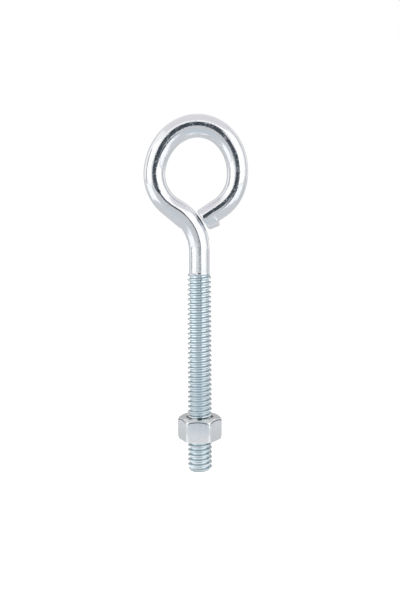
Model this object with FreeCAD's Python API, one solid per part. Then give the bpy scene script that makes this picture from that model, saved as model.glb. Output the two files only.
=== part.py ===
"""Turned eye bolt with its hex nut.

One length of rod has a rolled thread at its lower end and is bent cold at its upper end
into an open, slightly leaning eye. The cropped end of the rod stops against the bend of
the neck and is not welded. A plain hexagon nut runs on the thread.

Frame: millimetres, +Z up. The origin is the middle of the threaded tip, on the axis of
the shank. The eye stands in the XZ plane, so its opening looks along Y.
The thread is a 1/4-20 thread, drawn at its major diameter.
"""
import FreeCAD, Part
import math
import os

# ---- thread and shank -------------------------------------------------------------
THREAD_MAJOR = 6.35         # diameter over the crests
THREAD_PITCH = 1.27         # one turn
THREAD_LENGTH = 51.6        # from the tip to the last turn
TIP_FLAT = 5.3              # diameter of the flat inside the tip's chamfer
TIP_CHAMFER_RISE = 0.75     # height of that chamfer
RUNOUT_TURNS = 0.6          # the last crest fades into the rod over this share of a turn

# ---- rod and neck -----------------------------------------------------------------
ROD_DIAMETER = 5.5          # blank rod, the pitch diameter of a rolled thread
NECK_LENGTH = 5.85          # straight plain rod between thread and bend
NECK_BEND_RADIUS = 11.8     # centreline of the bend that leaves the shank
NECK_TURN = 58.6            # degrees that this bend leans the rod to -X
HEEL_LENGTH = 1.0           # short straight run after the neck's bend

# ---- eye --------------------------------------------------------------------------
LOWER_BEND_RADIUS = 10.15   # centreline, from the heel up to the side of the eye
EYE_LEAN = 8.3              # degrees that the eye leans to +X
EYE_HALF_WIDTH = 10.58      # centreline, middle of the eye to its side
EYE_CROWN_RISE = 12.33      # centreline, level of the widest point to the crown
FAR_BEND_RADIUS = 10.3      # centreline, from the far side down to the closing leg
FAR_TURN = 48.0             # degrees that this bend turns the rod back to the neck
CLOSING_GAP = 0.25          # between the cropped end and the neck

# ---- what bending and cropping do to the rod --------------------------------------
CROWN_SWELL = 0.20          # the rod grows by this in the eye's plane at the crown
DRAWN_DIAMETER = 5.3        # the rod is drawn thinner on the far side of the eye
HEEL_FLARE = 8.5            # degrees by which the heel's underside runs straight on
HEEL_REACH = 6.0            # length of that straight underside, down to its crease
HEEL_ROUND = 0.5            # round at its lower end
HEEL_INSET = 0.03           # so that the underside leaves the round rod at a clear angle
LIP_LENGTH = 2.9            # the cropping tool pushes the rod's end outwards
LIP_OFFSET = 1.15           # at the step where the lip starts
LIP_TAPER = 12.0            # degrees, back towards the rod at the cut

# ---- nut --------------------------------------------------------------------------
NUT_ACROSS_FLATS = 10.15
NUT_HEIGHT = 5.85           # face to face
NUT_STAND = 8.35            # tip of the shank to the underside of the nut
NUT_TURN = -4.65            # degrees, how far the nut is turned on the thread
NUT_CHAMFER_ANGLE = 30.0    # degrees, slope of the corner chamfers
NUT_TOP_INSET = 0.25        # the round upper face lies this far inside the flats
NUT_BASE_TRIM = 0.40        # the lower face only loses this much of each corner
NUT_CORNER_ROUND = 0.45
NUT_RUNNING_CLEARANCE = 0.10    # on the radius, between crests and bore
COUNTERSINK_DEPTH = 0.45

THREAD_RADIUS = THREAD_MAJOR / 2
ROD_RADIUS = ROD_DIAMETER / 2
DRAWN_RADIUS = DRAWN_DIAMETER / 2
BEND_START = THREAD_LENGTH + NECK_LENGTH
UP = FreeCAD.Vector(0, 0, 1)
ACROSS = FreeCAD.Vector(0, 1, 0)
TIP = FreeCAD.Vector(0, 0, 0)


def heading(lean):
    """Unit direction in the eye's plane, leaning from straight up to -X by lean degrees."""
    angle = math.radians(lean)
    return FreeCAD.Vector(-math.sin(angle), 0, math.cos(angle))


def left_of(direction):
    """Unit direction in the eye's plane, a quarter turn to the left of a direction."""
    return FreeCAD.Vector(-direction.z, 0, direction.x)


class Centreline:
    """The middle of the rod, laid down as a bender would: runs, bends and the crown."""

    def __init__(self, start, lean):
        self.point = start
        self.lean = lean
        self.edges = []
        self.stations = [(start, heading(lean))]

    def _arrive(self, point, lean):
        self.point = point
        self.lean = lean
        self.stations.append((point, heading(lean)))

    def run(self, length):
        end = self.point + heading(self.lean) * length
        self.edges.append(Part.LineSegment(self.point, end).toShape())
        self._arrive(end, self.lean)

    def bend(self, radius, turn):
        """A round bend: a positive turn goes to the left, a negative one to the right."""
        side = math.copysign(1, turn)
        middle = self.point + left_of(heading(self.lean)) * (radius * side)

        def on_arc(lean):
            return middle - left_of(heading(lean)) * (radius * side)

        half_way = on_arc(self.lean + turn / 2)
        end = on_arc(self.lean + turn)
        self.edges.append(Part.Arc(self.point, half_way, end).toShape())
        self._arrive(end, self.lean + turn)
        return middle

    def crown(self, half_width, rise):
        """Half an ellipse over the top of the eye, in two quarters that meet at the crown."""
        upward = heading(self.lean)
        middle = self.point - left_of(upward) * half_width
        top = middle + upward * rise
        far_side = middle - left_of(upward) * half_width
        for start, end, lean in ((self.point, top, self.lean - 90),
                                 (top, far_side, self.lean - 180)):
            self.edges.append(quarter_ellipse(middle, start, end, upward, half_width, rise))
            self._arrive(end, lean)
        return middle


def quarter_ellipse(middle, start, end, upward, half_width, rise):
    """The quarter of the crown's ellipse between two of its axis points."""
    ellipse = Part.Ellipse(middle, max(rise, half_width), min(rise, half_width))
    ellipse.Axis = ACROSS
    ellipse.XAxis = upward if rise >= half_width else left_of(upward)
    first = ellipse.parameter(start)
    last = ellipse.parameter(end)
    if last < first:
        last += 2 * math.pi
    if last - first > math.pi:
        first, last = last, first + 2 * math.pi
    return Part.ArcOfEllipse(ellipse, first, last).toShape()


def section(station, radius, swell=0.0):
    """The rod's outline at a station, wider by swell in the eye's plane."""
    point, direction = station
    outline = Part.Ellipse(point, radius + swell, radius)
    outline.Axis = direction
    outline.XAxis = left_of(direction)
    return Part.Wire(outline.toShape())


def round_rod(edges, station, radius):
    """The plain round rod along some of the centreline, from a station at its start."""
    outline = Part.Wire(Part.Circle(*station, radius).toShape())
    return Part.Wire(edges).makePipe(Part.Face(outline))


def crown_rod(edges, stations):
    """The top of the eye, widest at the crown and drawn thinner down its far side."""
    near_side, top, far_side = stations
    sweep = Part.BRepOffsetAPI.MakePipeShell(Part.Wire(edges))
    sweep.setBiNormalMode(ACROSS)
    sweep.add(section(near_side, ROD_RADIUS))
    sweep.add(section(top, ROD_RADIUS, CROWN_SWELL))
    sweep.add(section(far_side, DRAWN_RADIUS))
    sweep.build()
    sweep.makeSolid()
    return sweep.shape()


def closing_leg(line, bend_middle):
    """Length of the last straight run, which stops CLOSING_GAP short of the neck's bend."""
    back = heading(line.lean) * -1
    reach = (line.point - bend_middle).dot(back)
    return reach - (NECK_BEND_RADIUS + ROD_RADIUS + CLOSING_GAP)


def bent_eye():
    """The rod from the end of the straight neck round the eye to its cropped end."""
    line = Centreline(UP * BEND_START, 0.0)
    bend_middle = line.bend(NECK_BEND_RADIUS, NECK_TURN)
    line.run(HEEL_LENGTH)
    lower_middle = line.bend(LOWER_BEND_RADIUS, -(NECK_TURN + EYE_LEAN))
    crown_start = len(line.edges)
    line.crown(EYE_HALF_WIDTH, EYE_CROWN_RISE)
    crown_end = len(line.edges)
    line.bend(FAR_BEND_RADIUS, -FAR_TURN)
    line.run(closing_leg(line, bend_middle))

    near_leg = round_rod(line.edges[:crown_start], line.stations[0], ROD_RADIUS)
    crown = crown_rod(line.edges[crown_start:crown_end], line.stations[crown_start:crown_end + 1])
    far_leg = round_rod(line.edges[crown_end:], line.stations[crown_end], DRAWN_RADIUS)
    return near_leg.fuse([pressed_heel(lower_middle), crown, far_leg, cropped_lip(line)])


def end_edge(rod, end, forward):
    """The round edge of a cylinder's face at its far end."""
    return [edge for edge in rod.Edges
            if edge.Closed and abs((edge.CenterOfMass - end).dot(forward)) < ROD_RADIUS / 10]


def pressed_heel(lower_middle):
    """Metal that the tight bend pushes out below the leg, with a crease where it ends."""
    lean = NECK_TURN - HEEL_FLARE
    backward = heading(lean) * -1
    start = lower_middle + left_of(heading(lean)) * LOWER_BEND_RADIUS
    heel = Part.makeCylinder(ROD_RADIUS - HEEL_INSET, HEEL_REACH, start, backward)
    return heel.makeFillet(HEEL_ROUND, end_edge(heel, start + backward * HEEL_REACH, backward))


def cropped_lip(line):
    """The rod's last few millimetres, pushed outwards where the tool cropped it."""
    forward = heading(line.lean)
    step = line.point - forward * LIP_LENGTH + left_of(forward) * LIP_OFFSET
    taper = heading(line.lean - LIP_TAPER)
    lip = Part.makeCylinder(DRAWN_RADIUS, 3 * LIP_LENGTH, step - taper * LIP_LENGTH, taper)
    reach = Part.makeCylinder(ROD_DIAMETER, LIP_LENGTH, line.point, forward * -1)
    return lip.common(reach)


def shank():
    """The turned part: chamfered tip, thread at its crests, run-out and plain neck."""
    runout = RUNOUT_TURNS * THREAD_PITCH
    outline = [
        (0, 0),
        (TIP_FLAT / 2, 0),
        (THREAD_RADIUS, TIP_CHAMFER_RISE),
        (THREAD_RADIUS, THREAD_LENGTH - runout),
        (ROD_RADIUS, THREAD_LENGTH),
        (ROD_RADIUS, BEND_START),
        (0, BEND_START),
        (0, 0),
    ]
    points = [FreeCAD.Vector(x, 0, z) for x, z in outline]
    return Part.Face(Part.makePolygon(points)).revolve(TIP, UP, 360)


def eye_bolt():
    return shank().fuse(bent_eye()).removeSplitter()


def hexagon(across_flats, height):
    """A hexagonal prism on the XY plane with a flat towards -Y and rounded corners."""
    corner_radius = across_flats / math.sqrt(3)
    corners = [FreeCAD.Vector(corner_radius * math.cos(math.radians(60 * i)),
                              corner_radius * math.sin(math.radians(60 * i)), 0)
               for i in range(7)]
    prism = Part.Face(Part.makePolygon(corners)).extrude(UP * height)
    upright = [edge for edge in prism.Edges if abs(edge.Vertexes[0].Z - edge.Vertexes[1].Z) > height / 2]
    return prism.makeFillet(NUT_CORNER_ROUND, upright)


def corner_chamfers():
    """A turned body whose cones take the corners off both ends, the upper end more."""
    slope = math.tan(math.radians(NUT_CHAMFER_ANGLE))
    top_radius = NUT_ACROSS_FLATS / 2 - NUT_TOP_INSET
    base_radius = NUT_ACROSS_FLATS / math.sqrt(3) - NUT_BASE_TRIM
    reach = NUT_ACROSS_FLATS
    outline = [
        (0, 0),
        (base_radius, 0),
        (reach, (reach - base_radius) * slope),
        (reach, NUT_HEIGHT - (reach - top_radius) * slope),
        (top_radius, NUT_HEIGHT),
        (0, NUT_HEIGHT),
        (0, 0),
    ]
    points = [FreeCAD.Vector(x, 0, z) for x, z in outline]
    return Part.Face(Part.makePolygon(points)).revolve(TIP, UP, 360)


def nut_bore():
    """The bore that clears the crests, with a countersink at each end."""
    bore_radius = THREAD_RADIUS + NUT_RUNNING_CLEARANCE
    mouth_radius = bore_radius + COUNTERSINK_DEPTH
    outline = [
        (0, 0),
        (mouth_radius, 0),
        (bore_radius, COUNTERSINK_DEPTH),
        (bore_radius, NUT_HEIGHT - COUNTERSINK_DEPTH),
        (mouth_radius, NUT_HEIGHT),
        (0, NUT_HEIGHT),
        (0, 0),
    ]
    points = [FreeCAD.Vector(x, 0, z) for x, z in outline]
    return Part.Face(Part.makePolygon(points)).revolve(TIP, UP, 360)


def hex_nut():
    nut = hexagon(NUT_ACROSS_FLATS, NUT_HEIGHT).common(corner_chamfers()).cut(nut_bore())
    nut.rotate(TIP, UP, NUT_TURN)
    nut.translate(UP * NUT_STAND)
    return nut


def main():
    os.makedirs("parts", exist_ok=True)
    for name, shape in (("eye_bolt", eye_bolt()), ("hex_nut", hex_nut())):
        shape.exportStep("parts/" + name + ".step")
        box = shape.BoundBox
        print(name, "solids", len(shape.Solids), "valid", shape.isValid(),
              "volume", round(shape.Volume, 2), "faces", len(shape.Faces),
              "box", [round(v, 3) for v in (box.XMin, box.XMax, box.YMin, box.YMax, box.ZMin, box.ZMax)])


main()
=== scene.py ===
import math
import bpy
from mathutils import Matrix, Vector


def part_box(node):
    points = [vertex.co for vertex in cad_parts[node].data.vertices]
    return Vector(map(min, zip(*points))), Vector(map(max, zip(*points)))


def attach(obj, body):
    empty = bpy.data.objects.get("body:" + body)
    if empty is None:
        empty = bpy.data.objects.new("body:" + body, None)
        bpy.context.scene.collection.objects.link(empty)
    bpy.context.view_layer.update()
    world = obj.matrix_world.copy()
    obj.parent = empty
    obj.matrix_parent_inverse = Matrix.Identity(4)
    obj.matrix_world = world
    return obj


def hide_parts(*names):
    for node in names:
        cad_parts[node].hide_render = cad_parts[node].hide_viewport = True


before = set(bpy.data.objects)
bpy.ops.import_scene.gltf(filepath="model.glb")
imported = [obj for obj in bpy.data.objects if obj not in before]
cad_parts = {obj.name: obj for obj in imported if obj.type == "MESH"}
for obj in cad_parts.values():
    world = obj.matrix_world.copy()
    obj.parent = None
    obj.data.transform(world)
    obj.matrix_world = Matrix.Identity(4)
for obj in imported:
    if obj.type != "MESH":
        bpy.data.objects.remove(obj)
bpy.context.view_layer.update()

MM = 0.001

# ---- sizes of the shank and its thread, in metres ---------------------------------------
THREAD_RADIUS = 3.175 * MM
THREAD_ROOT_RADIUS = 2.46 * MM
THREAD_PITCH = 1.27 * MM
THREAD_LENGTH = 51.6 * MM
THREAD_START = -0.85         # turns from a whole turn to where the first groove begins
FLANK_STEEPNESS = 1.35       # above 1 the crests and roots are flattened
TIP_FLAT_RADIUS = 2.65 * MM
TIP_CHAMFER_RISE = 0.75 * MM
RUNOUT_TURNS = 0.6           # the last crest fades into the rod over this share of a turn
RUNOUT = RUNOUT_TURNS * THREAD_PITCH

# ---- sizes of the rod and the eye, in metres and degrees --------------------------------
ROD_RADIUS = 2.75 * MM
DRAWN_RADIUS = 2.65 * MM     # the rod is drawn thinner on the far side of the eye
NECK_LENGTH = 5.85 * MM      # straight plain rod between thread and bend
NECK_BEND_RADIUS = 11.8 * MM
NECK_TURN = 58.6             # this bend leans the rod to -X
HEEL_LENGTH = 1.0 * MM
LOWER_BEND_RADIUS = 10.15 * MM
EYE_LEAN = 8.3               # the eye leans to +X
EYE_HALF_WIDTH = 10.58 * MM
EYE_CROWN_RISE = 12.33 * MM
FAR_BEND_RADIUS = 10.3 * MM
FAR_TURN = 48.0              # this bend turns the rod back to the neck
CLOSING_GAP = 0.25 * MM      # between the cropped end and the neck
CROWN_SWELL = 0.20 * MM      # the rod grows by this in the eye's plane at the crown
HEEL_FLARE = 8.5             # the heel's underside runs straight on at this angle
HEEL_REACH = 6.0 * MM        # length of that straight underside
LIP_LENGTH = 2.9 * MM
LIP_OFFSET = 1.15 * MM       # at the step where the lip starts
LIP_TAPER = 12.0             # back towards the rod at the cut
LIP_SHOULDER = 0.5 * MM      # the lip starts to rise this far before its step
SHOULDER_RUN = 1.2           # length of that rise, as a share of the shoulder
CUT_EDGE_ROUND = 0.45 * MM
CUT_RING_GAP = 1.5           # from the last ring to the cut, in rounds of the cut's edge
FLARE_START = 0.95 * MM      # the rod's front is round as far out as this, then it flares
RIDGE_ANGLE = 7.5            # how far round to +X the ridge lies
RIDGE_HEIGHT = 0.13 * MM
RIDGE_SPREAD = 1.6 * MM
RIDGE_END = 6.5 * MM         # it ends this far before the side of the eye

# ---- sizes of the nut, in metres and degrees --------------------------------------------
NUT_LOW, NUT_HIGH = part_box("hex_nut")
NUT_HEIGHT = NUT_HIGH.z - NUT_LOW.z
NUT_ACROSS_FLATS = 10.15 * MM
NUT_TURN = -4.65
HALF_SIDE_ANGLE = 30.0       # from the middle of a flat to a corner of the hexagon
NUT_CORNER_ROUND = 0.50 * MM
NUT_TOP_INSET = 0.25 * MM
NUT_BASE_TRIM = 0.40 * MM
NUT_CHAMFER_ANGLE = 30.0
NUT_CORNER_REACH = 0.685 * MM    # from the flats out to the rounded corners
NUT_TOP_CORNER_CUT = 0.36 * MM   # how far the corners are rounded off at their tips
NUT_BASE_CORNER_CUT = 0.75 * MM
CORNER_POWER = 6             # the higher, the closer to the tips this rounding begins
NUT_EDGE_ROUND = 0.20 * MM
NUT_EDGE_ANGLE = 20.0        # edges sharper than this are worn round
NUT_CORNER_RADIUS = NUT_ACROSS_FLATS / math.sqrt(3)
NUT_TOP_RADIUS = NUT_ACROSS_FLATS / 2 - NUT_TOP_INSET
NUT_BASE_RADIUS = NUT_CORNER_RADIUS - NUT_BASE_TRIM
NUT_THREAD_CLEARANCE = 0.07 * MM
COUNTERSINK_DEPTH = 0.45 * MM

CUT_CLEARANCE = 0.2 * MM     # a cutting body stands this far clear of what it doesn't cut
ROD_OVERLAP = 0.05 * MM      # the thread's end lies this far inside the plain rod

# ---- how finely the pieces are modelled -------------------------------------------------
ROD_SIDES = 72
ROD_STEP = 0.3 * MM
CURVE_STEPS = 24
THREAD_STEPS = 56
PROFILE_STEPS = 12
TURNED_SIDES = 96
CHAMFER_STEPS = 8
CUT_EDGE_STEPS = 4
NUT_CORNER_STEPS = 5
NUT_EDGE_STEPS = 4
TURNED_MERGE = 0.001 * MM    # points closer than this become one
THREAD_MERGE = 0.002 * MM
BOLT_SMOOTH_ANGLE = 40.0
NUT_SMOOTH_ANGLE = 30.0


# ---- small modelling helpers ------------------------------------------------------------

def nothing_selected():
    """Object mode, with every object deselected."""
    if bpy.context.object and bpy.context.object.mode != "OBJECT":
        bpy.ops.object.mode_set(mode="OBJECT")
    bpy.ops.object.select_all(action="DESELECT")


def only(piece):
    """Makes one piece the only selected object, and the active one."""
    nothing_selected()
    piece.select_set(True)
    bpy.context.view_layer.objects.active = piece


def edit(piece, mode="VERT"):
    """Edit mode on one piece, selecting points or edges."""
    only(piece)
    bpy.ops.object.mode_set(mode="EDIT")
    bpy.ops.mesh.select_mode(type=mode)


def done(piece):
    """Back to object mode, with the piece's place kept in its mesh."""
    bpy.ops.object.mode_set(mode="OBJECT")
    bpy.ops.object.transform_apply(location=True, rotation=True, scale=True)
    return piece


def drawn_line(name, points):
    """A chain of edges through the points, drawn out from a first point."""
    nothing_selected()
    bpy.ops.mesh.primitive_plane_add(size=MM, location=points[0])
    line = bpy.context.object
    line.name = name
    edit(line)
    bpy.ops.mesh.select_all(action="SELECT")
    bpy.ops.mesh.merge(type="CENTER")
    for here, there in zip(points, points[1:]):
        step = Vector(there) - Vector(here)
        bpy.ops.mesh.extrude_vertices_move(TRANSFORM_OT_translate={"value": step})
    return done(line)


def turned(name, outline):
    """A solid of revolution about the shank's axis, from an outline of (radius, height)."""
    body = drawn_line(name, [(radius, 0, height) for radius, height in outline])
    edit(body)
    bpy.ops.mesh.select_all(action="SELECT")
    bpy.ops.mesh.spin(steps=TURNED_SIDES, angle=2 * math.pi, center=(0, 0, 0), axis=(0, 0, 1))
    bpy.ops.mesh.select_all(action="SELECT")
    bpy.ops.mesh.remove_doubles(threshold=TURNED_MERGE)
    bpy.ops.mesh.normals_make_consistent(inside=False)
    return done(body)


def combine(piece, tool, operation):
    """Piece and tool as one solid: UNION, INTERSECT or DIFFERENCE. The tool is used up."""
    only(piece)
    cut = piece.modifiers.new(operation, "BOOLEAN")
    cut.operation = operation
    cut.object = tool
    cut.solver = "EXACT"
    bpy.ops.object.modifier_apply(modifier=cut.name)
    bpy.data.objects.remove(tool)
    return piece


# ---- thread -----------------------------------------------------------------------------

def thread_radius(turn, root, crest):
    """Radius of the rounded thread form at a share of one turn, with a crest at one half."""
    rise = 1 - 4 * abs(turn - 0.5)
    height = math.sin(math.pi / 2 * max(-1, min(1, FLANK_STEEPNESS * rise)))
    return (root + crest) / 2 + (crest - root) / 2 * height


def threaded_bar(name, root, crest, first_turn, last_turn):
    """A right-hand thread between two whole turns, closed by flat ends.

    It is screwed longer at both ends and cut back, so that neither end is left ragged.
    """
    start = (first_turn - 1 + THREAD_START) * THREAD_PITCH
    profile = []
    for i in range(PROFILE_STEPS + 1):
        turn = i / PROFILE_STEPS
        profile.append((thread_radius(turn, root, crest), 0, start + turn * THREAD_PITCH))
    bar = drawn_line(name, profile)
    only(bar)
    screw = bar.modifiers.new("thread", "SCREW")
    screw.axis = "Z"
    screw.angle = 2 * math.pi
    screw.screw_offset = THREAD_PITCH
    screw.iterations = last_turn - first_turn + 2
    screw.steps = screw.render_steps = THREAD_STEPS
    bpy.ops.object.modifier_apply(modifier=screw.name)
    edit(bar)
    bpy.ops.mesh.select_all(action="SELECT")
    bpy.ops.mesh.remove_doubles(threshold=THREAD_MERGE)
    for height, inner, outer in ((first_turn, True, False), (last_turn, False, True)):
        bpy.ops.mesh.select_all(action="SELECT")
        bpy.ops.mesh.bisect(plane_co=(0, 0, height * THREAD_PITCH), plane_no=(0, 0, 1),
                            use_fill=True, clear_inner=inner, clear_outer=outer)
    bpy.ops.mesh.select_all(action="SELECT")
    bpy.ops.mesh.normals_make_consistent(inside=False)
    return done(bar)


def rolled_thread():
    """The threaded shank, cut by the chamfer of its tip and by the cone of its run-out."""
    turns = math.ceil(THREAD_LENGTH / THREAD_PITCH)
    thread = threaded_bar("eye_bolt_shank", THREAD_ROOT_RADIUS, THREAD_RADIUS, -1, turns + 1)
    clear = THREAD_RADIUS + CUT_CLEARANCE
    tip_slope = TIP_CHAMFER_RISE / (THREAD_RADIUS - TIP_FLAT_RADIUS)
    runout_slope = RUNOUT / (THREAD_RADIUS - ROD_RADIUS)
    blank = turned("shank_blank", [
        (0, 0),
        (TIP_FLAT_RADIUS, 0),
        (clear, (clear - TIP_FLAT_RADIUS) * tip_slope),
        (clear, THREAD_LENGTH - (clear - ROD_RADIUS) * runout_slope),
        (ROD_RADIUS - ROD_OVERLAP, THREAD_LENGTH + ROD_OVERLAP * runout_slope),
        (0, THREAD_LENGTH + ROD_OVERLAP * runout_slope)])
    return combine(thread, blank, "INTERSECT")


# ---- rod and eye ------------------------------------------------------------------------

def heading(lean):
    """The direction of a rod that leans this many degrees from upright towards -X."""
    angle = math.radians(lean)
    return Vector((-math.sin(angle), 0, math.cos(angle)))


def left_of(direction):
    """The direction in the eye's plane at a right angle to another, on its -X side."""
    return Vector((-direction.z, 0, direction.x))


class Path:
    """The middle of the rod as the bender lays it down, kept as Bezier points."""

    def __init__(self, start, lean):
        self.point = start
        self.lean = lean
        self.knots = [[start, None, None]]
        self.length = 0.0

    def _join(self, handle_out, handle_in, point, length):
        """Adds a point, with the handles that leave the last point and reach this one."""
        self.knots[-1][2] = handle_out
        self.knots.append([point, handle_in, None])
        self.point = point
        self.length += length

    def run(self, length):
        """A straight stretch."""
        end = self.point + heading(self.lean) * length
        third = (end - self.point) / 3
        self._join(self.point + third, end - third, end, length)

    def bend(self, radius, turn, pieces=6):
        """An arc that turns the rod to the left, or to the right where turn is below 0."""
        side = math.copysign(1, turn)
        middle = self.point + left_of(heading(self.lean)) * radius * side
        reach = 4 / 3 * math.tan(math.radians(abs(turn) / pieces) / 4) * radius
        for _ in range(pieces):
            here = heading(self.lean)
            self.lean += turn / pieces
            there = heading(self.lean)
            end = middle - left_of(there) * radius * side
            self._join(self.point + here * reach, end - there * reach, end,
                       radius * math.radians(abs(turn) / pieces))
        return middle

    def crown(self, half_width, rise, pieces=16):
        """Half an ellipse, up over the eye and down its far side."""
        upward = heading(self.lean)
        across = left_of(upward) * -1
        middle = self.point + across * half_width
        reach = 4 / 3 * math.tan(math.pi / pieces / 4)
        whole = math.pi * (3 * (rise + half_width)
                           - math.sqrt((3 * rise + half_width) * (rise + 3 * half_width))) / 2

        def travel(angle):
            return across * half_width * math.sin(angle) + upward * rise * math.cos(angle)

        for i in range(pieces):
            first = math.pi * i / pieces
            last = math.pi * (i + 1) / pieces
            end = middle - across * half_width * math.cos(last) + upward * rise * math.sin(last)
            self._join(self.point + travel(first) * reach, end - travel(last) * reach, end,
                       whole / pieces)
        self.lean -= 180


def centreline():
    """The bender's line, with the stations where the rod's section changes."""
    path = Path(Vector((0, 0, 0)), 0.0)
    stations = {}
    path.run(THREAD_LENGTH + NECK_LENGTH)
    stations["neck"] = path.length
    neck_middle = path.bend(NECK_BEND_RADIUS, NECK_TURN)
    path.run(HEEL_LENGTH)
    stations["lower bend"] = path.length
    path.bend(LOWER_BEND_RADIUS, -(NECK_TURN + EYE_LEAN))
    stations["near side"] = path.length
    path.crown(EYE_HALF_WIDTH, EYE_CROWN_RISE)
    stations["far side"] = path.length
    path.bend(FAR_BEND_RADIUS, -FAR_TURN)
    back = heading(path.lean) * -1
    to_neck = (path.point - neck_middle).dot(back)
    path.run(to_neck - (NECK_BEND_RADIUS + ROD_RADIUS + CLOSING_GAP))
    stations["cut"] = path.length
    return path, stations


def bending_curve(path):
    """The bender's line as a Bezier curve."""
    data = bpy.data.curves.new("bending_line", "CURVE")
    data.dimensions = "3D"
    data.resolution_u = CURVE_STEPS
    data.twist_mode = "MINIMUM"
    spline = data.splines.new("BEZIER")
    spline.bezier_points.add(len(path.knots) - 1)
    for knot, (point, handle_in, handle_out) in zip(spline.bezier_points, path.knots):
        knot.handle_left_type = knot.handle_right_type = "FREE"
        knot.co = point
        knot.tilt = math.pi
        knot.handle_left = handle_in if handle_in else point * 2 - handle_out
        knot.handle_right = handle_out if handle_out else point * 2 - handle_in
    curve = bpy.data.objects.new("bending_line", data)
    bpy.context.scene.collection.objects.link(curve)
    return curve


def heel_flare(station, stations):
    """How far the pressed heel's straight underside stands out from the round rod."""
    neck_start = Vector((0, 0, stations["neck"]))
    neck_middle = neck_start - Vector((NECK_BEND_RADIUS, 0, 0))
    heel_end = neck_middle - left_of(heading(NECK_TURN)) * NECK_BEND_RADIUS
    lower_start = heel_end + heading(NECK_TURN) * HEEL_LENGTH
    lower_middle = lower_start - left_of(heading(NECK_TURN)) * LOWER_BEND_RADIUS
    flare = NECK_TURN - HEEL_FLARE
    side = left_of(heading(flare))
    line_point = lower_middle + side * (LOWER_BEND_RADIUS + ROD_RADIUS)

    if station < stations["neck"]:
        return 0.0
    if station > stations["lower bend"]:
        lean = NECK_TURN - math.degrees((station - stations["lower bend"]) / LOWER_BEND_RADIUS)
        if lean < flare:
            return 0.0
        place = lower_middle + left_of(heading(lean)) * LOWER_BEND_RADIUS
    elif station > stations["lower bend"] - HEEL_LENGTH:
        lean = NECK_TURN
        place = lower_start - heading(lean) * (stations["lower bend"] - station)
    else:
        lean = math.degrees((station - stations["neck"]) / NECK_BEND_RADIUS)
        place = neck_middle - left_of(heading(lean)) * NECK_BEND_RADIUS
    outwards = left_of(heading(lean))
    reach = (line_point - place).dot(side) / outwards.dot(side)
    touch = place + outwards * reach
    beyond = (line_point - touch).dot(heading(flare))
    if beyond > HEEL_REACH:
        return 0.0
    return max(0.0, reach - ROD_RADIUS)


def rod_section(station, stations):
    """Half width in the eye's plane and half depth across it, both before any flare."""
    crown_length = stations["far side"] - stations["near side"]
    share = max(0.0, min(1.0, (station - stations["near side"]) / crown_length))
    radius = ROD_RADIUS + (DRAWN_RADIUS - ROD_RADIUS) * max(0.0, 2 * share - 1)
    return radius + CROWN_SWELL * math.sin(math.pi * share), radius


def outer_flare(station, stations):
    """How far the outer side stands out at the pressed heel and at the cropped lip."""
    into_lip = station - (stations["cut"] - LIP_LENGTH)
    if into_lip > -LIP_SHOULDER:
        risen = min(1.0, (into_lip + LIP_SHOULDER) / LIP_SHOULDER / SHOULDER_RUN)
        proud = LIP_OFFSET - math.tan(math.radians(LIP_TAPER)) * max(0.0, into_lip)
        return proud * risen * risen * (3 - 2 * risen)
    return heel_flare(station, stations)


def drawn_blank(stations):
    """The plain rod before bending, drawn out ring by ring with its section at each."""
    start, cut = THREAD_LENGTH - RUNOUT, stations["cut"]
    last_ring = cut - CUT_RING_GAP * CUT_EDGE_ROUND
    count = round((last_ring - start) / ROD_STEP)
    places = [start + (last_ring - start) * i / count for i in range(1, count + 1)] + [cut]
    nothing_selected()
    bpy.ops.mesh.primitive_circle_add(vertices=ROD_SIDES, radius=ROD_RADIUS, fill_type="NGON",
                                      location=(0, 0, start), rotation=(0, 0, math.pi / ROD_SIDES))
    blank = bpy.context.object
    blank.name = "eye_bolt_rod"
    edit(blank)
    bpy.ops.mesh.select_all(action="SELECT")
    here, width, depth = start, ROD_RADIUS, ROD_RADIUS
    for station in places:
        next_width, next_depth = rod_section(station, stations)
        bpy.ops.mesh.extrude_region_move(TRANSFORM_OT_translate={"value": (0, 0, station - here)})
        bpy.ops.transform.resize(value=(next_width / width, next_depth / depth, 1),
                                 center_override=(0, 0, station))
        here, width, depth = station, next_width, next_depth
    return done(blank)


def select_points(piece, wanted):
    """Edit mode with just those vertices selected for which wanted(place) is true."""
    edit(piece)
    bpy.ops.mesh.select_all(action="DESELECT")
    bpy.ops.object.mode_set(mode="OBJECT")
    for point in piece.data.vertices:
        point.select = wanted(point.co)
    bpy.ops.object.mode_set(mode="EDIT")


def press_outer_side(blank, stations):
    """Draws the outer side of each ring out where the heel or the lip stands proud."""
    same_ring = ROD_STEP / 10
    places = sorted({round(point.co.z / MM, 4) for point in blank.data.vertices})
    for place in places:
        station = place * MM
        flare = outer_flare(station, stations)
        if flare <= 0:
            continue
        select_points(blank, lambda co: abs(co.z - station) < same_ring and co.x < -FLARE_START)
        grow = 1 + flare / (ROD_RADIUS - FLARE_START)
        bpy.ops.transform.resize(value=(grow, 1, 1), center_override=(-FLARE_START, 0, station))
        done(blank)


def raise_ridge(blank, stations, side):
    """The low ridge that the bending die leaves along the front or back of neck and leg."""
    lean = math.radians(RIDGE_ANGLE)
    outwards = Vector((math.sin(lean), side * math.cos(lean), 0))
    first, last = THREAD_LENGTH, stations["near side"] - RIDGE_END
    quarter_side = math.radians(360 / ROD_SIDES / 4)
    on_line = math.cos(quarter_side)

    def along_ridge(place):
        across = Vector((place.x, place.y, 0))
        return first < place.z < last and across.normalized().dot(outwards) > on_line

    select_points(blank, along_ridge)
    bpy.ops.transform.translate(value=outwards * RIDGE_HEIGHT, use_proportional_edit=True,
                                proportional_edit_falloff="SHARP", proportional_size=RIDGE_SPREAD)
    done(blank)


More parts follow.
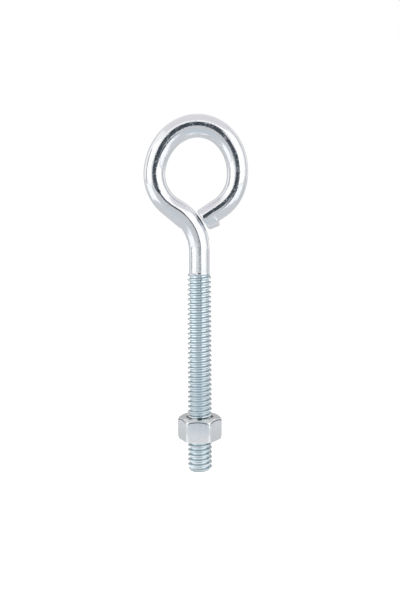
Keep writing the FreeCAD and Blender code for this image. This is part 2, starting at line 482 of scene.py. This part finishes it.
def straight_blank(stations):
    """The rod before bending, with its cut edge, its ridges, its heel and its lip."""
    blank = drawn_blank(stations)
    select_points(blank, lambda place: place.z > stations["cut"] - CUT_EDGE_ROUND)
    bpy.ops.mesh.bevel(offset=CUT_EDGE_ROUND, segments=CUT_EDGE_STEPS, affect="EDGES")
    done(blank)
    raise_ridge(blank, stations, -1)
    raise_ridge(blank, stations, 1)
    press_outer_side(blank, stations)
    return blank


def keep_blank_places(piece):
    """Notes in two UV maps where each corner lay in the straight blank, in millimetres."""
    across = piece.data.uv_layers.new(name="blank_across")
    along = piece.data.uv_layers.new(name="blank_along")
    for corner, across_place, along_place in zip(piece.data.loops, across.data, along.data):
        place = piece.data.vertices[corner.vertex_index].co / MM
        across_place.uv = place.x, place.y
        along_place.uv = place.z, 0


def bent_rod():
    """The plain rod, bent along the bender's line from the end of the thread."""
    path, stations = centreline()
    curve = bending_curve(path)
    rod = straight_blank(stations)
    keep_blank_places(rod)
    only(rod)
    bend = rod.modifiers.new("bend", "CURVE")
    bend.object = curve
    bend.deform_axis = "POS_Z"
    bpy.ops.object.modifier_apply(modifier=bend.name)
    bpy.data.objects.remove(curve)
    return rod


# ---- nut --------------------------------------------------------------------------------

def chamfer_cut(radius, start, corner_cut):
    """How far a turned chamfer has come down the nut at a radius, rounding off the corners."""
    cone = max(0.0, radius - start) * math.tan(math.radians(NUT_CHAMFER_ANGLE))
    corner = (radius - NUT_ACROSS_FLATS / 2) / NUT_CORNER_REACH
    return cone + corner_cut * max(0.0, corner) ** CORNER_POWER


def hexagon():
    """The nut's hexagon, with its six upright corners rounded."""
    nothing_selected()
    bpy.ops.mesh.primitive_cylinder_add(
        vertices=6, radius=NUT_CORNER_RADIUS, depth=NUT_HEIGHT,
        location=(0, 0, (NUT_LOW.z + NUT_HIGH.z) / 2),
        rotation=(0, 0, math.radians(HALF_SIDE_ANGLE + NUT_TURN)))
    nut = bpy.context.object
    nut.name = "zinc_hex_nut"
    done(nut)
    edit(nut, "EDGE")
    bpy.ops.mesh.select_all(action="DESELECT")
    bpy.ops.object.mode_set(mode="OBJECT")
    points = nut.data.vertices
    for line in nut.data.edges:
        low, high = (points[i].co for i in line.vertices)
        line.select = abs(high.z - low.z) > NUT_HEIGHT / 2
    bpy.ops.object.mode_set(mode="EDIT")
    bpy.ops.mesh.bevel(offset=NUT_CORNER_ROUND * math.tan(math.radians(HALF_SIDE_ANGLE)),
                       segments=NUT_CORNER_STEPS, profile=0.5)
    return done(nut)


def nut_chamfers():
    """The turned body that the hexagon is cut down to at both faces."""
    flats = NUT_ACROSS_FLATS / 2
    radii = [flats + NUT_CORNER_REACH * step / CHAMFER_STEPS for step in range(CHAMFER_STEPS + 1)]
    outline = [(0, NUT_LOW.z), (flats, NUT_LOW.z)]
    for radius in radii[1:]:
        cut = chamfer_cut(radius, NUT_BASE_RADIUS, NUT_BASE_CORNER_CUT)
        outline.append((radius, NUT_LOW.z + cut))
    for radius in reversed(radii):
        cut = chamfer_cut(radius, NUT_TOP_RADIUS, NUT_TOP_CORNER_CUT)
        outline.append((radius, NUT_HIGH.z - cut))
    outline += [(NUT_TOP_RADIUS, NUT_HIGH.z), (0, NUT_HIGH.z)]
    return turned("nut_chamfers", outline)


def nut_bore(root, mouth):
    """The drilled hole as a solid, with a countersink at each face."""
    over = CUT_CLEARANCE
    return turned("nut_bore", [
        (0, NUT_LOW.z - over),
        (mouth + over, NUT_LOW.z - over),
        (root, NUT_LOW.z + mouth - root),
        (root, NUT_HIGH.z - mouth + root),
        (mouth + over, NUT_HIGH.z + over),
        (0, NUT_HIGH.z + over)])


def hex_nut():
    """The hexagon nut, with chamfers, worn edges, countersinks and its own thread."""
    nut = combine(hexagon(), nut_chamfers(), "INTERSECT")
    only(nut)
    worn = nut.modifiers.new("worn edges", "BEVEL")
    worn.width = NUT_EDGE_ROUND
    worn.segments = NUT_EDGE_STEPS
    worn.limit_method = "ANGLE"
    worn.angle_limit = math.radians(NUT_EDGE_ANGLE)
    bpy.ops.object.modifier_apply(modifier=worn.name)

    root = THREAD_ROOT_RADIUS + NUT_THREAD_CLEARANCE
    crest = THREAD_RADIUS + NUT_THREAD_CLEARANCE
    combine(nut, nut_bore(root, crest + COUNTERSINK_DEPTH), "DIFFERENCE")
    first = math.floor(NUT_LOW.z / THREAD_PITCH) - 1
    last = math.ceil(NUT_HIGH.z / THREAD_PITCH) + 1
    return combine(nut, threaded_bar("nut_tap", root, crest, first, last), "DIFFERENCE")


def smooth(piece, degrees):
    """Smooth shading, except over edges sharper than this angle."""
    only(piece)
    bpy.ops.object.shade_smooth_by_angle(angle=math.radians(degrees))


# ---- the two pieces, each in the place of its CAD node ----------------------------------

shank = rolled_thread()
keep_blank_places(shank)
rod = bent_rod()
bolt = combine(shank, rod, "UNION")
bolt.name = "bent_eye_bolt"
nut = hex_nut()
smooth(bolt, BOLT_SMOOTH_ANGLE)
smooth(nut, NUT_SMOOTH_ANGLE)

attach(bolt, "bolt")
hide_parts("eye_bolt")
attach(nut, "nut")
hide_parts("hex_nut")


# ---- finishes: lengths in millimetres, patterns in waves per millimetre -----------------
LINE_SCALE = 2.6             # fine lines along the draw
CLOUD_SCALE = 0.35           # broad clouds of duller zinc
DENT_SCALE = 1.9
CRYSTAL_SCALE = 2.4
CRYSTAL_RANGE = (0.48, 0.62)
CLOUD_RANGE = (0.35, 0.65)
CLEAR_ZINC = 0.3             # what is left of the crystals between the clouds
BUMP_SHARE = 0.5             # lines and dents each make up half of the relief

ROD_DENTS = 0.024 * MM
ROD_PLATING = {
    "Stretch": (1.0, 1.0, 0.06), "Bright": (0.87, 0.88, 0.90, 1), "Dull": (0.80, 0.82, 0.85, 1),
    "Streaks": 0.3, "Smoothest": 0.05, "Roughest": 0.32}
THREAD_CREST_COLOR = (0.87, 0.94, 0.97)
# the thread's flanks are given painted shade in this colour
THREAD_FLANK_SHADE = (0.51, 0.59, 0.63)
THREAD_ROUGHNESS = 0.13
FILM_AND_SHADE_EDGE = (0.1, -0.7)      # the thread's bluish film and its painted flank shade begin between these heights from its end
FLANK_SHADE_RANGE = (0.34, 0.12)   # the painted shade on the flanks is full this close to the middle of the thread's depth

NUT_DENTS = 0.012 * MM
NUT_PLATING = {
    "Stretch": (1.0, 1.0, 0.10), "Bright": (0.90, 0.90, 0.91, 1), "Dull": (0.80, 0.82, 0.83, 1),
    "Streaks": 1.6, "Smoothest": 0.22, "Roughest": 0.34}
TURNED_COLOR = (0.76, 0.78, 0.77)
# painted highlight on the nut's rims and corners, in this colour
PAINTED_HIGHLIGHT_COLOR = (0.97, 0.97, 0.97)
# a painted dark reflection just below the upper chamfer, in this colour
DARK_REFLECTION_COLOR = (0.13, 0.15, 0.16)
# painted shade inside the nut's bore, in this colour
BORE_SHADE_COLOR = (0.10, 0.11, 0.12)
# each range runs from where its colour starts to show to where it is full
TURNED_RANGE = (0.05, 0.01)  # below a turned chamfer
RIM_RANGE = (0.26, 0.16)     # painted highlight on the rims, below a turned chamfer
DARK_REFLECTION_TOP = (0.20, 0.30)      # painted dark reflection, below the upper chamfer
DARK_REFLECTION_BOTTOM = (0.56, 0.44)   # painted dark reflection, below the upper chamfer
CORNER_RANGE = (5.50, 5.66)  # from the axis, where the corners get a painted highlight and less painted dark reflection
BORE_SHADE_RANGE = (3.75, 3.35)     # from the axis, for the painted shade in the bore and countersinks
CORNER_HIGHLIGHT_BREAKUP = 0.5            # how much the dents break up the painted highlight on the corners
CORNER_DARK_REFLECTION = 0.35           # what is left of the painted dark reflection at the corners
HIGHLIGHT_SMOOTHER = 0.55       # share of the roughness taken away where the highlight is painted


def node(tree, kind, label="", **values):
    """A labelled node, with its settings."""
    made = tree.nodes.new(kind)
    made.label = label
    for key, value in values.items():
        setattr(made, key, value)
    return made


def wire(tree, source, target):
    """Links an output to an input."""
    tree.links.new(source, target)


def new_group(name, inputs, outputs):
    """A node group with named sockets, its input node and its output node."""
    group = bpy.data.node_groups.new(name, "ShaderNodeTree")
    for label, kind, value in inputs:
        socket = group.interface.new_socket(name=label, in_out="INPUT", socket_type=kind)
        if value is not None:
            socket.default_value = value
    for label, kind in outputs:
        group.interface.new_socket(name=label, in_out="OUTPUT", socket_type=kind)
    return group, group.nodes.new("NodeGroupInput"), group.nodes.new("NodeGroupOutput")


def noise(tree, vector, scale, detail, roughness=0.5):
    """A cloudy value from 0 to 1."""
    made = node(tree, "ShaderNodeTexNoise")
    made.inputs["Scale"].default_value = scale
    made.inputs["Detail"].default_value = detail
    made.inputs["Roughness"].default_value = roughness
    wire(tree, vector, made.inputs["Vector"])
    return made.outputs["Fac"]


def place_on_piece(tree):
    """A point's place on its piece, in millimetres."""
    texture = node(tree, "ShaderNodeTexCoord")
    made = node(tree, "ShaderNodeVectorMath", "in millimetres", operation="MULTIPLY")
    made.inputs[1].default_value = (1 / MM, 1 / MM, 1 / MM)
    wire(tree, texture.outputs["Object"], made.inputs[0])
    return made.outputs[0]


def ranged(tree, value, low, high, to_low=0.0, to_high=1.0):
    """A soft step from to_low to to_high, while the value goes from low to high."""
    made = node(tree, "ShaderNodeMapRange", interpolation_type="SMOOTHSTEP")
    made.inputs["From Min"].default_value = low
    made.inputs["From Max"].default_value = high
    made.inputs["To Min"].default_value = to_low
    made.inputs["To Max"].default_value = to_high
    wire(tree, value, made.inputs["Value"])
    return made.outputs["Result"]


def maths(tree, operation, first, second):
    """One step of arithmetic on two values, each a socket or a fixed number."""
    made = node(tree, "ShaderNodeMath", operation=operation)
    for socket, value in zip(made.inputs, (first, second)):
        if hasattr(value, "links"):
            wire(tree, value, socket)
        else:
            socket.default_value = value
    return made.outputs[0]


def mixed(tree, share, first, second):
    """A colour between two, each a socket or a fixed colour."""
    made = node(tree, "ShaderNodeMix", data_type="RGBA")
    sockets = [s for s in made.inputs if s.type == "RGBA"]
    wire(tree, share, made.inputs["Factor"])
    for socket, value in zip(sockets, (first, second)):
        if hasattr(value, "links"):
            wire(tree, value, socket)
        else:
            socket.default_value = (*value, 1)
    return next(s for s in made.outputs if s.type == "RGBA")


def plating_group():
    """Zinc plating: clouds, fine lines along the draw, dents, and dull crystals in patches."""
    group, given, result = new_group(
        "zinc_plating",
        [("Place", "NodeSocketVector", None), ("Stretch", "NodeSocketVector", (1.0, 1.0, 0.05)),
         ("Bright", "NodeSocketColor", (1, 1, 1, 1)), ("Dull", "NodeSocketColor", (0.8, 0.8, 0.8, 1)),
         ("Streaks", "NodeSocketFloat", 0.2), ("Smoothest", "NodeSocketFloat", 0.06),
         ("Roughest", "NodeSocketFloat", 0.2)],
        [("Color", "NodeSocketColor"), ("Roughness", "NodeSocketFloat"), ("Height", "NodeSocketFloat")])
    place = given.outputs["Place"]
    lines_at = node(group, "ShaderNodeVectorMath", "along the draw", operation="MULTIPLY")
    wire(group, place, lines_at.inputs[0])
    wire(group, given.outputs["Stretch"], lines_at.inputs[1])
    lines = noise(group, lines_at.outputs[0], LINE_SCALE, detail=3)
    clouds = noise(group, place, CLOUD_SCALE, detail=3)
    dents = noise(group, place, DENT_SCALE, detail=3, roughness=0.6)
    crystals = ranged(group, noise(group, place, CRYSTAL_SCALE, detail=2), *CRYSTAL_RANGE)
    cloud_share = ranged(group, clouds, *CLOUD_RANGE, to_low=CLEAR_ZINC)
    dull_share = maths(group, "MULTIPLY", crystals, cloud_share)
    line_swing = maths(group, "SUBTRACT", lines, 0.5)
    streaks = maths(group, "MULTIPLY", line_swing, given.outputs["Streaks"])
    streaked = maths(group, "ADD", dull_share, streaks)
    color = mixed(group, streaked, given.outputs["Bright"], given.outputs["Dull"])
    wire(group, color, result.inputs["Color"])
    spread = maths(group, "SUBTRACT", given.outputs["Roughest"], given.outputs["Smoothest"])
    added = maths(group, "MULTIPLY", spread, dull_share)
    rough = maths(group, "ADD", given.outputs["Smoothest"], added)
    wire(group, rough, result.inputs["Roughness"])
    line_relief = maths(group, "MULTIPLY", lines, BUMP_SHARE)
    dent_relief = maths(group, "MULTIPLY", dents, BUMP_SHARE)
    wire(group, maths(group, "ADD", line_relief, dent_relief), result.inputs["Height"])
    return group


def new_tree(name):
    """An empty node material."""
    material = bpy.data.materials.new(name)
    material.use_nodes = True
    material.node_tree.nodes.clear()
    return material, material.node_tree


def plated_metal(name, bump):
    """A material with its metal shader and the bump that feeds it."""
    material, tree = new_tree(name)
    metal = node(tree, "ShaderNodeBsdfPrincipled")
    metal.inputs["Metallic"].default_value = 1.0
    relief = node(tree, "ShaderNodeBump")
    relief.inputs["Strength"].default_value = 1.0
    relief.inputs["Distance"].default_value = bump
    out = node(tree, "ShaderNodeOutputMaterial")
    wire(tree, relief.outputs[0], metal.inputs["Normal"])
    wire(tree, metal.outputs[0], out.inputs[0])
    return material, tree, metal, relief


def use_plating(tree, group, place, values):
    """The plating group at a place, with a finish's own values."""
    plating = node(tree, "ShaderNodeGroup", "plating", node_tree=group)
    wire(tree, place, plating.inputs["Place"])
    for label, value in values.items():
        plating.inputs[label].default_value = value
    return plating


def blank_place(tree):
    """Where a point of the bent rod lay in the straight blank, in millimetres."""
    across = node(tree, "ShaderNodeUVMap", uv_map="blank_across")
    along = node(tree, "ShaderNodeUVMap", uv_map="blank_along")
    split_across = node(tree, "ShaderNodeSeparateXYZ")
    split_along = node(tree, "ShaderNodeSeparateXYZ")
    join = node(tree, "ShaderNodeCombineXYZ", "place in the blank, mm")
    wire(tree, across.outputs[0], split_across.inputs[0])
    wire(tree, along.outputs[0], split_along.inputs[0])
    wire(tree, split_across.outputs["X"], join.inputs["X"])
    wire(tree, split_across.outputs["Y"], join.inputs["Y"])
    wire(tree, split_along.outputs["X"], join.inputs["Z"])
    return join.outputs[0]


def axis_distance(tree, split):
    """Distance from the shank's axis, from a separated place."""
    flat = node(tree, "ShaderNodeCombineXYZ")
    wire(tree, split.outputs["X"], flat.inputs["X"])
    wire(tree, split.outputs["Y"], flat.inputs["Y"])
    radius = node(tree, "ShaderNodeVectorMath", "distance from the axis", operation="LENGTH")
    wire(tree, flat.outputs[0], radius.inputs[0])
    return radius.outputs["Value"]


def zinc_rod(group):
    """Bright rod above, bluish thread below with painted shade on its flanks."""
    material, tree, metal, relief = plated_metal("zinc_plated_rod", ROD_DENTS)
    place = blank_place(tree)
    plating = use_plating(tree, group, place, ROD_PLATING)
    split = node(tree, "ShaderNodeSeparateXYZ")
    wire(tree, place, split.inputs[0])
    above, below = (THREAD_LENGTH / MM + height for height in FILM_AND_SHADE_EDGE)
    threaded = ranged(tree, split.outputs["Z"], above, below)
    radius = axis_distance(tree, split)
    middle = (THREAD_RADIUS + THREAD_ROOT_RADIUS) / 2 / MM
    from_middle = maths(tree, "ABSOLUTE", maths(tree, "SUBTRACT", radius, middle), 0.0)
    # painted shade on the thread's flanks, darker than its crests and roots
    flank_shade = ranged(tree, from_middle, *FLANK_SHADE_RANGE)
    thread_color = mixed(tree, flank_shade, THREAD_CREST_COLOR, THREAD_FLANK_SHADE)
    color = mixed(tree, threaded, plating.outputs["Color"], thread_color)
    wire(tree, color, metal.inputs["Base Color"])
    plain = maths(tree, "SUBTRACT", 1.0, threaded)
    rod_roughness = maths(tree, "MULTIPLY", plain, plating.outputs["Roughness"])
    thread_roughness = maths(tree, "MULTIPLY", threaded, THREAD_ROUGHNESS)
    wire(tree, maths(tree, "ADD", rod_roughness, thread_roughness), metal.inputs["Roughness"])
    wire(tree, maths(tree, "MULTIPLY", plain, plating.outputs["Height"]), relief.inputs["Height"])
    return material


def below_chamfer(tree, radius, depth, start, corner_cut):
    """How far a point of the nut lies below one of its turned chamfers, in millimetres."""
    slope = math.tan(math.radians(NUT_CHAMFER_ANGLE))
    cone = maths(tree, "MULTIPLY", maths(tree, "SUBTRACT", radius, start / MM), slope)
    over_flat = maths(tree, "SUBTRACT", radius, NUT_ACROSS_FLATS / 2 / MM)
    corner = maths(tree, "MAXIMUM", maths(tree, "DIVIDE", over_flat, NUT_CORNER_REACH / MM), 0.0)
    rounding = maths(tree, "MULTIPLY", maths(tree, "POWER", corner, CORNER_POWER), corner_cut / MM)
    cut = maths(tree, "ADD", maths(tree, "MAXIMUM", cone, 0.0), rounding)
    return maths(tree, "SUBTRACT", depth, cut)


def zinc_nut(group):
    """Satin flats, turned chamfers, painted highlights on rims and corners, a painted dark reflection
    below the upper chamfer and painted shade in the thread.
    """
    material, tree, metal, relief = plated_metal("zinc_plated_nut", NUT_DENTS)
    place = place_on_piece(tree)
    plating = use_plating(tree, group, place, NUT_PLATING)
    split = node(tree, "ShaderNodeSeparateXYZ")
    wire(tree, place, split.inputs[0])
    radius = axis_distance(tree, split)
    from_top = maths(tree, "SUBTRACT", NUT_HIGH.z / MM, split.outputs["Z"])
    from_base = maths(tree, "SUBTRACT", split.outputs["Z"], NUT_LOW.z / MM)
    top = below_chamfer(tree, radius, from_top, NUT_TOP_RADIUS, NUT_TOP_CORNER_CUT)
    base = below_chamfer(tree, radius, from_base, NUT_BASE_RADIUS, NUT_BASE_CORNER_CUT)
    edge = maths(tree, "MINIMUM", top, base)
    turned_face = ranged(tree, edge, *TURNED_RANGE)
    rim_highlight = ranged(tree, edge, *RIM_RANGE)
    dent_swing = maths(tree, "SUBTRACT", plating.outputs["Height"], 0.5)
    highlight_breakup = maths(tree, "MULTIPLY", dent_swing, CORNER_HIGHLIGHT_BREAKUP)
    corner = ranged(tree, maths(tree, "ADD", radius, highlight_breakup), *CORNER_RANGE)
    # painted highlight on the rims and the corners
    painted_highlight = maths(tree, "MAXIMUM", rim_highlight, corner)
    # a painted dark reflection in a band below the upper chamfer
    reflection_top = ranged(tree, top, *DARK_REFLECTION_TOP)
    reflection_bottom = ranged(tree, top, *DARK_REFLECTION_BOTTOM)
    line = maths(tree, "MULTIPLY", reflection_top, reflection_bottom)
    off_corners = ranged(tree, radius, *reversed(CORNER_RANGE), to_low=CORNER_DARK_REFLECTION)
    dark_reflection = maths(tree, "MULTIPLY", line, off_corners)
    outer_color = mixed(tree, painted_highlight, plating.outputs["Color"], PAINTED_HIGHLIGHT_COLOR)
    turned_color = mixed(tree, turned_face, outer_color, TURNED_COLOR)
    darkened_color = mixed(tree, dark_reflection, turned_color, DARK_REFLECTION_COLOR)
    # painted shade in the bore and countersinks, where the thread enters the nut
    inside = ranged(tree, radius, *BORE_SHADE_RANGE)
    wire(tree, mixed(tree, inside, darkened_color, BORE_SHADE_COLOR), metal.inputs["Base Color"])
    kept = maths(tree, "SUBTRACT", 1.0, maths(tree, "MULTIPLY", painted_highlight, HIGHLIGHT_SMOOTHER))
    wire(tree, maths(tree, "MULTIPLY", plating.outputs["Roughness"], kept), metal.inputs["Roughness"])
    wire(tree, plating.outputs["Height"], relief.inputs["Height"])
    return material


def finish(piece, material):
    """Gives a piece its one material."""
    piece.data.materials.clear()
    piece.data.materials.append(material)


plating = plating_group()
finish(bolt, zinc_rod(plating))
finish(nut, zinc_nut(plating))


# ---- camera, floor and light, in metres and degrees; the lens in millimetres ------------
CAMERA_PLACE = (0.23 * MM, -195 * MM, 64.33 * MM)
CAMERA_PITCH = 3.92
CAMERA_ROLL = 0.2
FOCAL_LENGTH = 45.6
SENSOR_HEIGHT = 36.0
FRAME_SHIFT = -0.0417

WORLD_LEVEL = 0.95
FLOOR_SIZE = 6.0
FLOOR_COLOR = (0.80, 0.808, 0.816, 1)
FLOOR_LIFT = 0.6             # light that the eye, metal and glass see on top of the floor's own
FLOOR_DEPTH = 8 * MM         # the floor lies clear of the nut when it has run off the tip
STUDIO_RADIUS = 0.7
STUDIO_MIDDLE = Vector((0, 0, 72 * MM))

# colours of the cards over the floor, the first being the floor's own in this light
FLOOR_SHEEN = (0.76, 0.768, 0.775)
WHITE_POOL = (1.10, 1.12, 1.15)
PALE_POOL = (0.93, 0.95, 0.97)
FRONT_GREY = (0.62, 0.64, 0.66)
FRONT_PALE = (0.73, 0.75, 0.77)
SIDE_GREY = (0.61, 0.63, 0.64)
BLUE_SHADE = (0.58, 0.65, 0.71)
BACK_SHADE = (0.66, 0.68, 0.705)
POOL_SIDES = 96
POOL_BEGINS = 1.2            # a pool has its full colour from here, in inner radii
POOL_ENDS = 0.8              # to here, in outer radii


def set_camera():
    """The camera in front of the piece, level with its neck's bend and tipped slightly down."""
    data = bpy.data.cameras.new("camera")
    data.sensor_fit = "VERTICAL"
    data.sensor_height = SENSOR_HEIGHT
    data.lens = FOCAL_LENGTH
    data.shift_y = FRAME_SHIFT
    camera = bpy.data.objects.new("camera", data)
    camera.location = CAMERA_PLACE
    camera.rotation_euler = (math.radians(90 - CAMERA_PITCH), math.radians(CAMERA_ROLL), 0)
    bpy.context.scene.collection.objects.link(camera)
    bpy.context.scene.camera = camera


def background_rays(tree):
    """1 where a ray should see plain white, and 0 where it only carries light."""
    paths = node(tree, "ShaderNodeLightPath")
    mirror = node(tree, "ShaderNodeMath", "seen in metal or glass", operation="MAXIMUM")
    seen = node(tree, "ShaderNodeMath", "seen at all", operation="MAXIMUM")
    wire(tree, paths.outputs["Is Glossy Ray"], mirror.inputs[0])
    wire(tree, paths.outputs["Is Transmission Ray"], mirror.inputs[1])
    wire(tree, paths.outputs["Is Camera Ray"], seen.inputs[0])
    wire(tree, mirror.outputs[0], seen.inputs[1])
    return seen.outputs[0]


def white_world():
    """White where it is seen, and an even light a little below white."""
    world = bpy.data.worlds.new("white_surroundings")
    bpy.context.scene.world = world
    world.use_nodes = True
    tree = world.node_tree
    tree.nodes.clear()
    strength = node(tree, "ShaderNodeMapRange", "light level, white where seen")
    strength.inputs["To Min"].default_value = WORLD_LEVEL
    strength.inputs["To Max"].default_value = 1.0
    back = node(tree, "ShaderNodeBackground")
    out = node(tree, "ShaderNodeOutputWorld")
    wire(tree, background_rays(tree), strength.inputs["Value"])
    wire(tree, strength.outputs["Result"], back.inputs["Strength"])
    back.inputs["Color"].default_value = (1, 1, 1, 1)
    wire(tree, back.outputs[0], out.inputs[0])


def pale_floor():
    """A pale floor, lifted to white where it is seen."""
    nothing_selected()
    bpy.ops.mesh.primitive_plane_add(size=FLOOR_SIZE, location=(0, 0, -FLOOR_DEPTH))
    floor = bpy.context.object
    floor.name = "floor"
    material, tree = new_tree("pale_floor")
    paper = node(tree, "ShaderNodeBsdfDiffuse")
    paper.inputs["Color"].default_value = FLOOR_COLOR
    glow = node(tree, "ShaderNodeEmission")
    lift = node(tree, "ShaderNodeMath", "lift to white where seen", operation="MULTIPLY")
    lift.inputs[1].default_value = FLOOR_LIFT
    both = node(tree, "ShaderNodeAddShader")
    out = node(tree, "ShaderNodeOutputMaterial")
    wire(tree, background_rays(tree), lift.inputs[0])
    wire(tree, lift.outputs[0], glow.inputs["Strength"])
    wire(tree, paper.outputs[0], both.inputs[0])
    wire(tree, glow.outputs[0], both.inputs[1])
    wire(tree, both.outputs[0], out.inputs[0])
    floor.data.materials.append(material)


def soft_edge_group():
    """1 over the middle of a card two units across, fading to 0 at its four sides."""
    group, given, result = new_group(
        "soft_edge",
        [("Place", "NodeSocketVector", None), ("Inner", "NodeSocketFloat", 0.7)],
        [("Mask", "NodeSocketFloat")])
    split = node(group, "ShaderNodeSeparateXYZ")
    wire(group, given.outputs["Place"], split.inputs[0])
    fades = []
    for axis in ("X", "Y"):
        size = node(group, "ShaderNodeMath", operation="ABSOLUTE")
        wire(group, split.outputs[axis], size.inputs[0])
        fade = node(group, "ShaderNodeMapRange", interpolation_type="SMOOTHSTEP")
        fade.inputs["From Min"].default_value = 1.0
        wire(group, size.outputs[0], fade.inputs["Value"])
        wire(group, given.outputs["Inner"], fade.inputs["From Max"])
        fades.append(fade.outputs["Result"])
    wire(group, maths(group, "MULTIPLY", fades[0], fades[1]), result.inputs["Mask"])
    return group


def glowing_material(name):
    """A card's material, which gives light and reflects none."""
    material, tree = new_tree(name)
    card = node(tree, "ShaderNodeBsdfPrincipled")
    card.inputs["Base Color"].default_value = (0, 0, 0, 1)
    card.inputs["Roughness"].default_value = 1.0
    card.inputs["Specular IOR Level"].default_value = 0.0
    card.inputs["Emission Strength"].default_value = 1.0
    out = node(tree, "ShaderNodeOutputMaterial")
    wire(tree, card.outputs[0], out.inputs[0])
    return material, tree, card


def only_in_reflections(card, material):
    """Puts a card on the stage that only the metal's reflections show."""
    card.data.materials.append(material)
    card.visible_camera = False
    card.visible_diffuse = False
    card.visible_shadow = False


def panel(name, azimuth, elevation, width, height, color, edge, radius=STUDIO_RADIUS):
    """A studio panel whose edges fade, turned to face the middle of the bolt's eye.

    Azimuth 0 is in front of the eye and 90 on its +X side. Width and height are the angles
    that the panel takes up as seen from the eye, and edge is the share of it that fades.
    """
    turn, rise = math.radians(azimuth), math.radians(elevation)
    away = Vector((math.sin(turn) * math.cos(rise), -math.cos(turn) * math.cos(rise), math.sin(rise)))
    half_width = radius * math.tan(math.radians(width / 2))
    half_height = radius * math.tan(math.radians(height / 2))
    nothing_selected()
    bpy.ops.mesh.primitive_plane_add(size=2, location=STUDIO_MIDDLE + away * radius,
                                     rotation=(math.radians(90) - rise, 0, turn))
    card = bpy.context.object
    card.name = name
    card.scale = (half_width, half_height, 1)
    material, tree, shader = glowing_material(name)
    shader.inputs["Emission Color"].default_value = (*color, 1)
    place = node(tree, "ShaderNodeTexCoord")
    mask = node(tree, "ShaderNodeGroup", "soft edge", node_tree=soft_edge)
    mask.inputs["Inner"].default_value = 1.0 - edge
    wire(tree, place.outputs["Object"], mask.inputs["Place"])
    wire(tree, mask.outputs["Mask"], shader.inputs["Alpha"])
    only_in_reflections(card, material)


def light_pools(name, lift, inner, outer, bands):
    """A flat ring of light and shade around the tip, with a colour for each azimuth."""
    nothing_selected()
    bpy.ops.mesh.primitive_circle_add(vertices=POOL_SIDES, radius=outer, fill_type="NGON",
                                      location=(0, 0, lift), rotation=(0, 0, -math.pi / 2))
    disc = bpy.context.object
    disc.name = name
    material, tree, shader = glowing_material(name)
    place = node(tree, "ShaderNodeTexCoord")
    around = node(tree, "ShaderNodeTexGradient", "around the part", gradient_type="RADIAL")
    ramp = node(tree, "ShaderNodeValToRGB")
    wire(tree, place.outputs["Object"], around.inputs["Vector"])
    wire(tree, around.outputs["Fac"], ramp.inputs["Fac"])
    points = ramp.color_ramp.elements
    while len(points) < len(bands):
        points.new(0.5)
    for point, (azimuth, color) in zip(points, bands):
        point.position = (azimuth + 180) / 360
        point.color = (*color, 1)
    wire(tree, ramp.outputs["Color"], shader.inputs["Emission Color"])
    reach = node(tree, "ShaderNodeVectorMath", "distance from the part", operation="LENGTH")
    wire(tree, place.outputs["Object"], reach.inputs[0])
    begins = ranged(tree, reach.outputs["Value"], inner, inner * POOL_BEGINS)
    ends = ranged(tree, reach.outputs["Value"], outer, outer * POOL_ENDS)
    wire(tree, maths(tree, "MULTIPLY", begins, ends), shader.inputs["Alpha"])
    only_in_reflections(disc, material)


set_camera()
bpy.context.scene.view_settings.view_transform = "Standard"
white_world()
pale_floor()
soft_edge = soft_edge_group()

# panels: azimuth, elevation, width, height, colour, edge, and a distance other than the usual
panel("ceiling", 0, 90, 88, 88, (0.79, 0.77, 0.80), 0.2, radius=0.78)
panel("left_softbox", -68, 12, 68, 50, (1.25, 1.25, 1.25), 0.3)
panel("right_softbox", 51, 18, 60, 55, (1.25, 1.25, 1.25), 0.25)
panel("right_grey_card", 106, 18, 30, 80, (0.56, 0.57, 0.58), 0.5, radius=0.66)
panel("left_grey_card", -138, 12, 30, 60, (0.66, 0.67, 0.68), 0.5, radius=0.66)
panel("left_grey_strip", -88, 8, 17, 50, (0.36, 0.37, 0.39), 0.35, radius=0.66)
panel("back_grey_card", 180, 16, 90, 50, (0.56, 0.56, 0.58), 0.4, radius=0.62)
panel("front_grey_card", -3, -4, 54, 34, (0.71, 0.73, 0.75), 0.25, radius=0.64)
panel("front_dark_card", 1, 15.5, 46, 37, (0.055, 0.068, 0.082), 0.12, radius=0.6)
panel("corner_card", 23, 18, 18, 16, (1.0, 1.0, 1.02), 0.5, radius=0.58)
panel("left_sheen_card", -13, -1, 8, 16, (0.26, 0.29, 0.32), 0.6, radius=0.58)
panel("right_sheen_card", 15, 2, 6, 12, (0.22, 0.26, 0.29), 0.6, radius=0.58)
panel("front_low_card", 19, -6, 18, 15, (0.14, 0.15, 0.17), 0.25, radius=0.3)
panel("front_ledge", -12, -1.5, 22, 6, (0.12, 0.13, 0.15), 0.3, radius=0.31)

# cards over the floor: height, inner and outer radius, and the colour at each azimuth
light_pools("floor_card", 0.4 * MM - FLOOR_DEPTH, 0.1 * MM, 3.5, [
    (-180, FLOOR_SHEEN), (180, FLOOR_SHEEN)])
light_pools("far_pools", 0.4 * MM, 0.10, 0.6, [
    (-180, SIDE_GREY), (-112, SIDE_GREY), (-98, WHITE_POOL), (-48, WHITE_POOL), (-40, FRONT_GREY),
    (20, FRONT_GREY), (28, WHITE_POOL), (72, WHITE_POOL), (88, SIDE_GREY)])
light_pools("blue_ring", 0.6 * MM, 0.028, 0.15, [
    (-180, BACK_SHADE), (-112, BACK_SHADE), (-50, BACK_SHADE), (-22, BLUE_SHADE),
    (22, BLUE_SHADE), (34, BACK_SHADE), (112, BACK_SHADE)])
light_pools("near_pools", 0.8 * MM, 0.001, 0.042, [
    (-180, BACK_SHADE), (-150, SIDE_GREY), (-112, SIDE_GREY), (-96, PALE_POOL), (-50, PALE_POOL),
    (-38, FRONT_PALE), (14, FRONT_PALE), (24, PALE_POOL), (72, PALE_POOL), (88, SIDE_GREY),
    (130, SIDE_GREY), (160, BACK_SHADE)])
